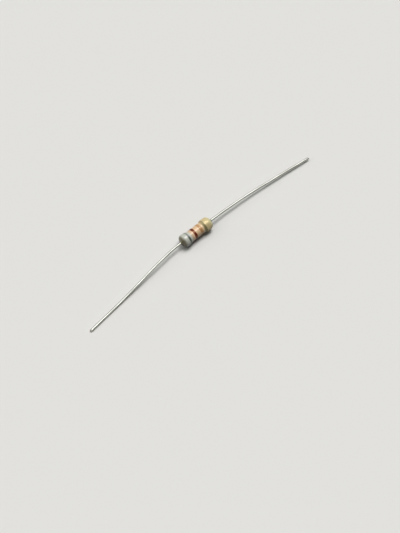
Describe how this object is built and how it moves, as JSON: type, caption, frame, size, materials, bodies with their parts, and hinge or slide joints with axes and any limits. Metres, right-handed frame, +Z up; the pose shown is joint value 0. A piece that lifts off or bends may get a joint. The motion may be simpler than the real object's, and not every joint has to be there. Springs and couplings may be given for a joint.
{
  "type": "axial resistor",
  "caption": "Axial-lead carbon film resistor: a lacquered dog-bone body with painted colour bands and a long tinned wire lead at each end, lying loose.",
  "frame": {"origin": "on the surface that the part lies on, under the middle of the bounding box of the whole part", "axes": "+X along the body, from the broad first colour band towards the fourth; +Z up from the surface; both leads bow towards -Y"},
  "size_m": [0.0505, 0.0038, 0.0024],
  "materials": {
    "ceramic": "matt",
    "carbon_film": "matt",
    "cap_steel": "satin",
    "tinned_wire": "satin",
    "tan_lacquer": "gloss",
    "white_paint": "gloss",
    "brown_paint": "gloss",
    "orange_paint": "gloss",
    "gold_paint": "satin"
  },
  "bodies": {
    "root": {"ceramic_rod": "ceramic", "resistive_film": "carbon_film", "left_end_cap": "cap_steel", "right_end_cap": "cap_steel", "left_lead": "tinned_wire", "right_lead": "tinned_wire", "lacquer_coating": "tan_lacquer", "first_band": "white_paint", "second_band": "brown_paint", "third_band": "orange_paint", "fourth_band": "gold_paint"}
  },
  "joints": []
}
